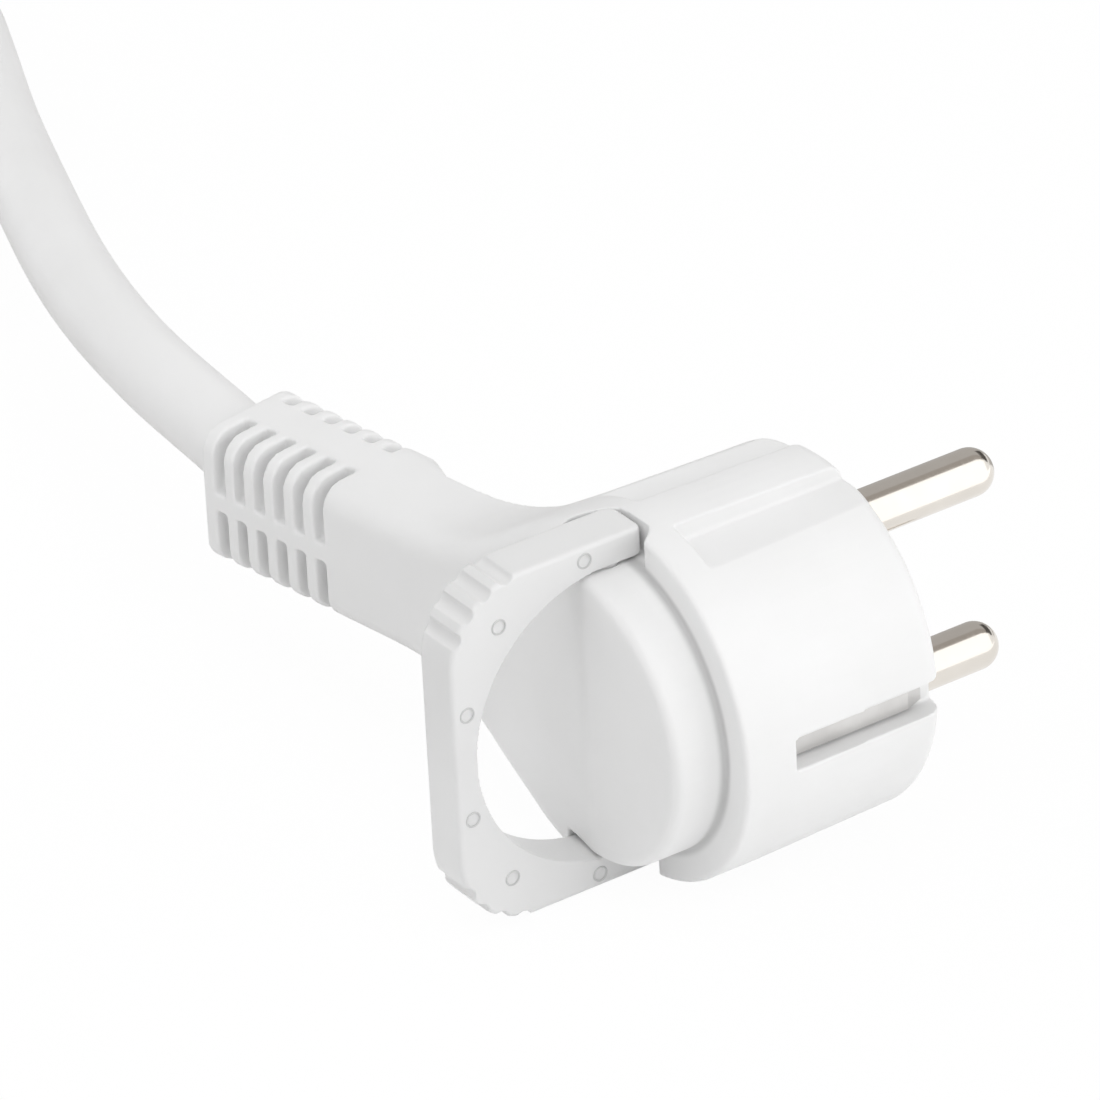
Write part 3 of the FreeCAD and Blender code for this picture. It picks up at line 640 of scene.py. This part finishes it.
@dataclass
class PhotoCamera:
    """Camera at the photograph's viewpoint."""

    azimuth: float = -33.3746
    elevation: float = 30.1102
    roll: float = -3.0250
    offset: Triple = (26.2523, -6.2210, -938.267)
    focal_pixels: float = 10000.0
    picture_pixels: float = 1100.0
    sensor: float = 36.0
    clip: Pair = (0.05, 60.0)

    def build(self) -> bpy.types.Object:
        """Makes the camera and sets it as the scene's.

        Returns:
            The camera object.
        """
        turn = math.radians(self.azimuth)
        tilt = math.radians(self.roll)
        back = direction(self.azimuth, self.elevation)
        right = Vector((math.cos(turn), math.sin(turn), 0))
        rows = Matrix((right, back.cross(right), back))
        roll = Matrix((
            (math.cos(tilt), math.sin(tilt), 0),
            (-math.sin(tilt), math.cos(tilt), 0),
            (0, 0, 1),
        ))
        facing = (roll @ rows).transposed()
        place = facing @ (Vector(self.offset) * -MM)
        data = bpy.data.cameras.new("photo_camera")
        data.sensor_width = self.sensor
        data.lens = self.sensor * self.focal_pixels / self.picture_pixels
        data.clip_start, data.clip_end = self.clip
        camera = link("photo_camera", data)
        camera.matrix_world = Matrix.Translation(place) @ facing.to_4x4()
        bpy.context.scene.camera = camera
        return camera


@dataclass(frozen=True)
class Softbox:
    """A large square lamp turned to the object, left out of the gloss."""

    name: str
    azimuth: float
    elevation: float
    power: float
    distance: float = 0.9
    side: float = 0.8

    def hang(self) -> None:
        """Hangs the lamp."""
        data = bpy.data.lights.new(self.name, "AREA")
        data.shape = "SQUARE"
        data.size = self.side
        data.energy = self.power
        lamp = link(self.name, data)
        towards = direction(self.azimuth, self.elevation)
        place = Matrix.Translation(towards * self.distance)
        lamp.matrix_world = place @ towards.to_track_quat("Z", "Y").to_matrix().to_4x4()
        lamp.visible_glossy = False


@dataclass(frozen=True)
class GlossCard:
    """A card that only the object's gloss sees, drawn as a line in Y and Z and stretched along X.

    A turned card is drawn in X and Z and stretched along Y.
    """

    name: str
    colour: Colour
    profile: Line
    span: Pair = (-1.6, 1.6)
    turned: bool = False

    def hang(self) -> None:
        """Hangs the card."""
        mesh = bpy.data.meshes.new(self.name)
        corners = [(along, side, z) if self.turned else (side, along, z)
                   for along, z in self.profile for side in self.span]
        starts = range(0, len(corners) - 2, 2)
        mesh.from_pydata(corners, [], [(at, at + 1, at + 3, at + 2) for at in starts])
        card = link(self.name, mesh)
        material = bpy.data.materials.new(self.name)
        material.use_nodes = True
        tree = material.node_tree
        tree.nodes.clear()
        shade = tree.nodes.new("ShaderNodeEmission")
        shade.inputs["Color"].default_value = rgba(self.colour)
        output = tree.nodes.new("ShaderNodeOutputMaterial")
        tree.links.new(shade.outputs[0], output.inputs["Surface"])
        dress(card, material)
        card.visible_camera = False
        card.visible_diffuse = False
        card.visible_shadow = False


def arc(first: float, last: float, radius: float = CARD_RADIUS, rows: int = 12) -> Line:
    """Gives points on an arc about the X axis.

    Args:
        first: Angle of the first point, in degrees from +Y towards +Z.
        last: Angle of the last point.
        radius: Radius of the arc, in metres.
        rows: Number of steps.

    Returns:
        The points in Y and Z.
    """
    turns = [math.radians(first + (last - first) * row / rows) for row in range(rows + 1)]
    return tuple((radius * math.cos(turn), radius * math.sin(turn)) for turn in turns)


@dataclass
class Studio:
    """Pale floor, softboxes all around and cards for the metal to mirror."""

    floor_half: float = 6.0
    ambient: float = 0.02
    floor_white: float = 0.96
    floor_colour: float = 0.97
    floor_roughness: float = 0.9
    softboxes: tuple[Softbox, ...] = (
        Softbox("left_softbox", -90, 35, 2.2),
        Softbox("front_softbox", 0, 35, 3.05),
        Softbox("low_right_softbox", 55, 10, 4.9),
        Softbox("low_left_softbox", -30, 8, 1.05),
        Softbox("far_right_softbox", 150, 35, 1.8),
        Softbox("far_left_softbox", -150, 35, 2.31),
        Softbox("top_softbox", 0, 88, 3.3),
    )
    cards: tuple[GlossCard, ...] = (
        GlossCard("grey_card", (0.5, 0.487, 0.477),
                  ((0.03, APRON_Z), (CARD_RADIUS, APRON_Z)) + arc(0, 74)),
        GlossCard("taupe_card", (0.4, 0.375, 0.35), arc(74, 102)),
        GlossCard("bright_card", (1.45, 1.45, 1.45),
                  arc(103, 180) + ((-CARD_RADIUS, APRON_Z), (-0.045, APRON_Z))),
        GlossCard("dark_card", (0.09, 0.085, 0.08), ((0.8, 0.12), (0.8, 0.52)),
                  span=(-0.05, 0.6), turned=True),
    )

    def build(self) -> None:
        """Makes the world, the lamps, the cards and the floor."""
        bpy.context.scene.view_settings.view_transform = "Standard"
        self.world()
        for lamp in self.softboxes:
            lamp.hang()
        for card in self.cards:
            card.hang()
        self.floor()

    @staticmethod
    def seen_directly(tree: bpy.types.NodeTree) -> bpy.types.NodeSocket:
        """Tells rays that look at the background from those that gather light.

        Args:
            tree: Node tree of the world or of a stage material.

        Returns:
            A socket that is 1 for camera, glossy and transmission rays.
        """
        path = tree.nodes.new("ShaderNodeLightPath")
        total = path.outputs["Is Camera Ray"]
        for name in ("Is Glossy Ray", "Is Transmission Ray"):
            add = tree.nodes.new("ShaderNodeMath")
            add.operation = "MAXIMUM"
            tree.links.new(total, add.inputs[0])
            tree.links.new(path.outputs[name], add.inputs[1])
            total = add.outputs[0]
        return total

    def world(self) -> None:
        """Makes a white background that lights the object softly."""
        world = bpy.data.worlds.new("soft_white_room")
        bpy.context.scene.world = world
        world.use_nodes = True
        tree = world.node_tree
        tree.nodes.clear()
        output = tree.nodes.new("ShaderNodeOutputWorld")
        mix = tree.nodes.new("ShaderNodeMixShader")
        light = tree.nodes.new("ShaderNodeBackground")
        light.inputs["Strength"].default_value = self.ambient
        white = tree.nodes.new("ShaderNodeBackground")
        for shade in (light, white):
            shade.inputs["Color"].default_value = WHITE
        tree.links.new(self.seen_directly(tree), mix.inputs[0])
        tree.links.new(light.outputs[0], mix.inputs[1])
        tree.links.new(white.outputs[0], mix.inputs[2])
        tree.links.new(mix.outputs[0], output.inputs["Surface"])

    def floor(self) -> None:
        """Lays the floor, white to the camera apart from the object's shadow."""
        sheet = NodeSheet("white_floor")
        sheet.set(Base_Color=(self.floor_colour,) * 3, Roughness=self.floor_roughness,
                  Specular_IOR_Level=0.0)
        glow = sheet.tree.nodes.new("ShaderNodeEmission")
        glow.inputs["Color"].default_value = WHITE
        share = sheet.tree.nodes.new("ShaderNodeMath")
        share.operation = "MULTIPLY"
        share.inputs[1].default_value = self.floor_white
        sheet.join(self.seen_directly(sheet.tree), share.inputs[0])
        mix = sheet.tree.nodes.new("ShaderNodeMixShader")
        sheet.join(share.outputs[0], mix.inputs[0])
        sheet.join(sheet.shader.outputs[0], mix.inputs[1])
        sheet.join(glow.outputs[0], mix.inputs[2])
        sheet.join(mix.outputs[0], sheet.output.inputs["Surface"])
        half = self.floor_half
        mesh = bpy.data.meshes.new("floor")
        sides = ((-half, -half), (half, -half), (half, half), (-half, half))
        mesh.from_pydata([(x, y, FLOOR_Z) for x, y in sides], [], [(0, 1, 2, 3)])
        floor = link("floor", mesh)
        dress(floor, sheet.material)


@dataclass
class MouldedBody:
    """The moulded housing with its shroud, boss, neck and cord grip."""

    nodes: dict[str, bpy.types.Object]
    softening: Softening = Softening(voxel=0.17 * MM, passes=1, zones=(
        SoftZone("cord_grip", (-60, 36, -30), (20, 90, 30), fade=3, passes=7),
        SoftZone("boss_fold", (-31, -4, -15), (-25, 12, 15), fade=2, passes=70),
    ))
    grip_axis: Pair = (-23.18, 34.24)
    lean: float = 9.5
    half_wide: float = 6.3
    half_high: float = 7.3
    corner: float = 2.6
    corner_steps: int = 6
    neck_side: float = 3.35
    neck_corner: float = 0.1
    ramp: Pair = (-0.6, 3.5)

    def place(self, along: float, across: float, height: float) -> Vector:
        """Turns a place on the cord grip into the frame.

        Args:
            along: Distance along the grip's axis, in millimetres.
            across: Distance to the front of the axis.
            height: Distance up.

        Returns:
            The point, in metres.
        """
        turn = math.radians(self.lean)
        x = self.grip_axis[0] - along * math.sin(turn) + across * math.cos(turn)
        y = self.grip_axis[1] + along * math.cos(turn) + across * math.sin(turn)
        return Vector((x, y, height)) * MM

    def outline(self, along: float, front: float, front_corner: float) -> list[Vector]:
        """Gives a rounded section of the neck or the grip.

        Args:
            along: Where it stands on the grip's axis.
            front: How far it reaches to the front.
            front_corner: Radius of its front corners.

        Returns:
            The points of the section.
        """
        points = []
        for across, radius, toward in ((-self.half_wide, self.corner, -1), (front, front_corner, 1)):
            for side in (-1, 1):
                for step in range(self.corner_steps + 1):
                    turn = math.pi / 2 * step / self.corner_steps
                    reach = across + toward * radius * (math.cos(turn) - 1)
                    height = side * (self.half_high + radius * (math.sin(turn) - 1))
                    points.append(self.place(along, reach, height))
        return points

    def shoulder(self, shell: bmesh.types.BMesh) -> None:
        """Adds the slope by which the neck widens into the grip.

        Args:
            shell: The joined shapes, changed in place.
        """
        start, end = self.ramp
        points = self.outline(start, self.neck_side, self.neck_corner)
        points += self.outline(end, self.half_wide, self.corner)
        corners = [shell.verts.new(point) for point in points]
        hull = bmesh.ops.convex_hull(shell, input=corners)
        spare = [item for item in hull["geom_interior"] if isinstance(item, bmesh.types.BMVert)]
        bmesh.ops.delete(shell, geom=spare, context="VERTS")

    def build(self) -> bpy.types.Object:
        """Makes the softened moulding over the CAD body and dresses what sits in it.

        Returns:
            The moulding.
        """
        # The moulding closes around the cores, so they are joined to it before it is remade.
        names = ["plug_body"] + [core + "_core" for core in CORES]
        shell = joined([self.nodes[name] for name in names])
        self.shoulder(shell)
        piece = self.softening.remade("body_moulding", shell)
        dress(piece, BODY_WHITE.material())
        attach(piece, Body.PLUG.value)
        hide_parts("plug_body")
        dress(self.nodes["pin_carrier"], CARRIER_WHITE.material())
        return piece


@dataclass
class PullRing:
    """The hinged pull ring and the rims of the ejector marks on its front."""

    nodes: dict[str, bpy.types.Object]
    softening: Softening = Softening(voxel=0.11 * MM, passes=1)
    marks: Line = (
        (-28.02, 16.89), (-37.76, 13.51), (-41.74, 5.6),
        (-41.74, -5.6), (-37.76, -13.51), (-28.02, -16.89))
    face: float = -1.1
    rim_radius: float = 0.72
    rim_wire: float = 0.1
    rim_steps: int = 40
    wire_steps: int = 10

    def build(self) -> list[bpy.types.Object]:
        """Makes the softened ring over the CAD ring, and its rims.

        Returns:
            The ring and the rims.
        """
        piece = self.softening.remade("ring_moulding", joined([self.nodes["pull_ring"]]))
        dress(piece, RING_WHITE.material())
        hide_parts("pull_ring")
        rims = self.rims(EJECTOR_RIM_PAINTED_SHADE.material())
        for item in (piece, rims):
            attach(item, Body.RING.value)
        return [piece, rims]

    def rims(self, finish: bpy.types.Material) -> bpy.types.Object:
        """Repeats one thin rim over the ejector marks with Geometry Nodes.

        Args:
            finish: Material of the rims, a little darker, as painted shade in the fine gap round each
                mark.

        Returns:
            The rims as one plain mesh.
        """
        tree = bpy.data.node_groups.new("ejector_rims", "GeometryNodeTree")
        socket = tree.interface.new_socket
        marks_in = socket("Geometry", in_out="INPUT", socket_type="NodeSocketGeometry")
        radius_in = socket("Rim Radius", in_out="INPUT", socket_type="NodeSocketFloat")
        wire_in = socket("Rim Wire", in_out="INPUT", socket_type="NodeSocketFloat")
        finish_in = socket("Finish", in_out="INPUT", socket_type="NodeSocketMaterial")
        socket("Geometry", in_out="OUTPUT", socket_type="NodeSocketGeometry")
        start = tree.nodes.new("NodeGroupInput")
        end = tree.nodes.new("NodeGroupOutput")
        loop = tree.nodes.new("GeometryNodeCurvePrimitiveCircle")
        loop.inputs["Resolution"].default_value = self.rim_steps
        wire = tree.nodes.new("GeometryNodeCurvePrimitiveCircle")
        wire.inputs["Resolution"].default_value = self.wire_steps
        sweep = tree.nodes.new("GeometryNodeCurveToMesh")
        spread = tree.nodes.new("GeometryNodeInstanceOnPoints")
        spread.inputs["Rotation"].default_value = (math.pi / 2, 0, 0)
        real = tree.nodes.new("GeometryNodeRealizeInstances")
        paint = tree.nodes.new("GeometryNodeSetMaterial")
        links = (
            (start.outputs[radius_in.name], loop.inputs["Radius"]),
            (start.outputs[wire_in.name], wire.inputs["Radius"]),
            (loop.outputs["Curve"], sweep.inputs["Curve"]),
            (wire.outputs["Curve"], sweep.inputs["Profile Curve"]),
            (start.outputs[marks_in.name], spread.inputs["Points"]),
            (sweep.outputs["Mesh"], spread.inputs["Instance"]),
            (spread.outputs["Instances"], real.inputs["Geometry"]),
            (real.outputs["Geometry"], paint.inputs["Geometry"]),
            (start.outputs[finish_in.name], paint.inputs["Material"]),
            (paint.outputs["Geometry"], end.inputs[0]),
        )
        for source, target in links:
            tree.links.new(source, target)
        points = bpy.data.meshes.new("ejector_places")
        points.from_pydata([(x * MM, self.face * MM, z * MM) for x, z in self.marks], [], [])
        seed = link("ejector_places", points)
        repeat = seed.modifiers.new("repeat", "NODES")
        repeat.node_group = tree
        repeat[radius_in.identifier] = self.rim_radius * MM
        repeat[wire_in.identifier] = self.rim_wire * MM
        repeat[finish_in.identifier] = finish
        rims = link("ejector_rims", settled(seed))
        rims.data.name = "ejector_rims"
        bpy.data.objects.remove(seed)
        rims.data.polygons.foreach_set("use_smooth", [True] * len(rims.data.polygons))
        return rims


@dataclass
class Contacts:
    """The contact pins and the earth strip."""

    nodes: dict[str, bpy.types.Object]

    def dress(self) -> None:
        """Gives the CAD metal parts their plating."""
        nickel = NICKEL.material()
        for name in ("live_pin", "neutral_pin"):
            drop_slivers(self.nodes[name])
            dress(self.nodes[name], nickel)
        dress(self.nodes["earth_strip"], STRIP_METAL.material())


@dataclass
class Lead:
    """The cord from the grip to its stripped end, wound into a tied coil out of the picture."""

    nodes: dict[str, bpy.types.Object]
    radius: float = 4.2
    length: float = 1.33
    exit_place: Triple = (-27.08, 57.5, 0.0)
    entry: tuple[Triple, ...] = ((-23.88, 38.38, 0.0), (-25.13, 45.88, 0.0))
    run: tuple[Triple, ...] = (
        (-25.9, 57.0, 0.0), (-24.9, 65.4, 0.0), (-24.2, 73.2, -0.1), (-23.3, 81.0, -0.3),
        (-21.3, 91.2, -0.8), (-18.8, 100.6, -1.4), (-15.8, 109.8, -2.0), (-11.8, 120.1, -3.0),
        (-7.1, 131.8, -4.2), (-2.2, 143.7, -5.4), (4.2, 157.5, -6.8), (11.2, 173.0, -8.4),
        (15.2, 188.5, -10.8))
    coil_centre: Pair = (-33.0, 196.0)
    coil_radius: float = 44.0
    strand_step: float = 4.35
    coil_levels: tuple[float, float, float, float] = (-13.3, -4.6, 2.7, 4.25)
    coil_angles: Pair = (11.0, 1540.0)
    turn_points: int = 16
    spline_order: int = 3
    spline_steps: int = 8
    bevel_steps: int = 6
    spline_shrink: float = 0.981
    moves_in: Pair = (270.0, 335.0)
    moves_up: Pair = (580.0, 650.0)
    moves_out: Pair = (890.0, 960.0)
    climbs: Pair = (1195.0, 1270.0)
    lifts: Pair = (1470.0, 1535.0)
    tie_angle: float = 108.0
    tie_width: float = 14.0
    tie_thickness: float = 0.8
    tie_slack: float = 0.3
    tie_inside: float = 0.02
    tie_rows: int = 12
    tie_corner_steps: int = 8

    @staticmethod
    def ease(angle: float, span: Pair) -> float:
        """Goes smoothly from 0 to 1 over a span of angle.

        Args:
            angle: Angle along the coil, in degrees.
            span: Angles at which the move starts and ends.

        Returns:
            The share of the move that is done.
        """
        share = min(1.0, max(0.0, (angle - span[0]) / (span[1] - span[0])))
        return share * share * (3 - 2 * share)

    def coil(self) -> list[Triple]:
        """Gives the control points of the wound turns.

        Returns:
            Points in millimetres.
        """
        first, last = self.coil_angles
        count = round((last - first) / 360 * self.turn_points)
        points = []
        for index in range(count + 1):
            angle = first + (last - first) * index / count
            side = (1 - 2 * self.ease(angle, self.moves_in) + 2 * self.ease(angle, self.moves_out)
                    - self.ease(angle, self.climbs))
            reach = (self.coil_radius + self.strand_step * side) / self.spline_shrink
            height = self.coil_levels[0]
            for level, span in enumerate((self.moves_up, self.climbs, self.lifts)):
                climb = self.coil_levels[level + 1] - self.coil_levels[level]
                height += climb * self.ease(angle, span)
            turn = math.radians(angle)
            points.append((self.coil_centre[0] + reach * math.cos(turn),
                           self.coil_centre[1] + reach * math.sin(turn), height))
        return points

    def build(self) -> list[bpy.types.Object]:
        """Makes the cord and its tie, and dresses the stripped end.

        Returns:
            The cord and the tie.
        """
        ends = [self.nodes[core + "_core_end"] for core in CORES]
        ferrules = [self.nodes[core + "_ferrule"] for core in CORES]
        for core, end, finish in zip(CORES, ends, (BROWN, BLUE, EARTH)):
            insulation = finish.material()
            dress(self.nodes[core + "_core"], insulation)
            dress(end, insulation)
        tinned = TINNED.material()
        for ferrule in ferrules:
            dress(ferrule, tinned)
        tie = self.tie()
        cord = self.cord()
        return [cord, tie]

    def cord(self) -> bpy.types.Object:
        """Draws the cord as one smooth spline.

        Returns:
            The cord.
        """
        points = [*self.entry, *self.run, *self.coil()]
        curve = bpy.data.curves.new("mains_cord", "CURVE")
        curve.dimensions = "3D"
        spline = curve.splines.new("NURBS")
        spline.points.add(len(points) - 1)
        for control, point in zip(spline.points, points):
            control.co = (*(v * MM for v in point), 1)
        spline.order_u = self.spline_order
        spline.use_endpoint_u = True
        spline.resolution_u = self.spline_steps
        curve.bevel_depth = self.radius * MM
        curve.bevel_resolution = self.bevel_steps
        curve.use_fill_caps = True
        cord = link("mains_cord", curve)
        dress(cord, SHEATH_WHITE.material())
        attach(cord, Body.PLUG.value)
        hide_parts("cord_run", "cord_coil", "cord_tail")
        return cord

    def tie_section(self, lift: float) -> list[Pair]:
        """Gives the strap's rounded square round the bundled strands.

        Args:
            lift: Distance from the strands, in millimetres.

        Returns:
            Places outward from the bundle's middle and up from it.
        """
        straight = self.radius + self.tie_slack
        bend = self.radius + lift
        steps = self.tie_corner_steps
        points = []
        for quarter, (out, up) in enumerate(((1, 1), (-1, 1), (-1, -1), (1, -1))):
            for step in range(steps + 1):
                turn = math.radians(90 * quarter + 90 * step / steps)
                points.append((straight * out + bend * math.cos(turn),
                               straight * up + bend * math.sin(turn)))
        return points

    def tie(self) -> bpy.types.Object:
        """Bends the strap round the bundled turns.

        Returns:
            The strap.
        """
        level = sum(self.coil_levels[:2]) / 2
        swept = self.tie_width / self.coil_radius
        skins = [self.tie_section(lift) for lift in (self.tie_inside, self.tie_thickness)]
        shell = bmesh.new()
        rings = []
        for row in range(self.tie_rows + 1):
            swing = math.radians(self.tie_angle) + swept * row / self.tie_rows
            ring = []
            for skin in skins:
                loop = []
                for out, up in skin:
                    reach = self.coil_radius + out
                    x = self.coil_centre[0] + reach * math.cos(swing)
                    y = self.coil_centre[1] + reach * math.sin(swing)
                    loop.append(shell.verts.new((x * MM, y * MM, (level + up) * MM)))
                ring.append(loop)
            rings.append(ring)
        count = len(skins[0])
        for index in range(count):
            after = (index + 1) % count
            for first, last in zip(rings, rings[1:]):
                for near, far in zip(first, last):
                    shell.faces.new([near[index], near[after], far[after], far[index]])
            for inner, outer in (rings[0], rings[-1]):
                shell.faces.new([inner[index], inner[after], outer[after], outer[index]])
        bmesh.ops.recalc_face_normals(shell, faces=shell.faces)
        strap = plain_object("cord_strap", shell)
        dress(strap, STRAP.material())
        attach(strap, Body.PLUG.value)
        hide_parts("cord_tie")
        return strap


def main() -> None:
    """Builds the plug around its frame and reports each piece."""
    logging.basicConfig(level=logging.INFO, format="%(name)s: %(message)s")
    for item in list(bpy.data.objects):
        bpy.data.objects.remove(item)
    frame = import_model()
    nodes = frame["nodes"]
    PhotoCamera().build()
    Studio().build()
    Contacts(nodes).dress()
    pieces = [MouldedBody(nodes).build()] + PullRing(nodes).build() + Lead(nodes).build()
    for piece in pieces:
        faces = len(piece.data.polygons) if piece.type == "MESH" else 0
        LOG.info("%s: %s, %d faces", piece.name, piece.type.lower(), faces)


if __name__ == "__main__":
    main()
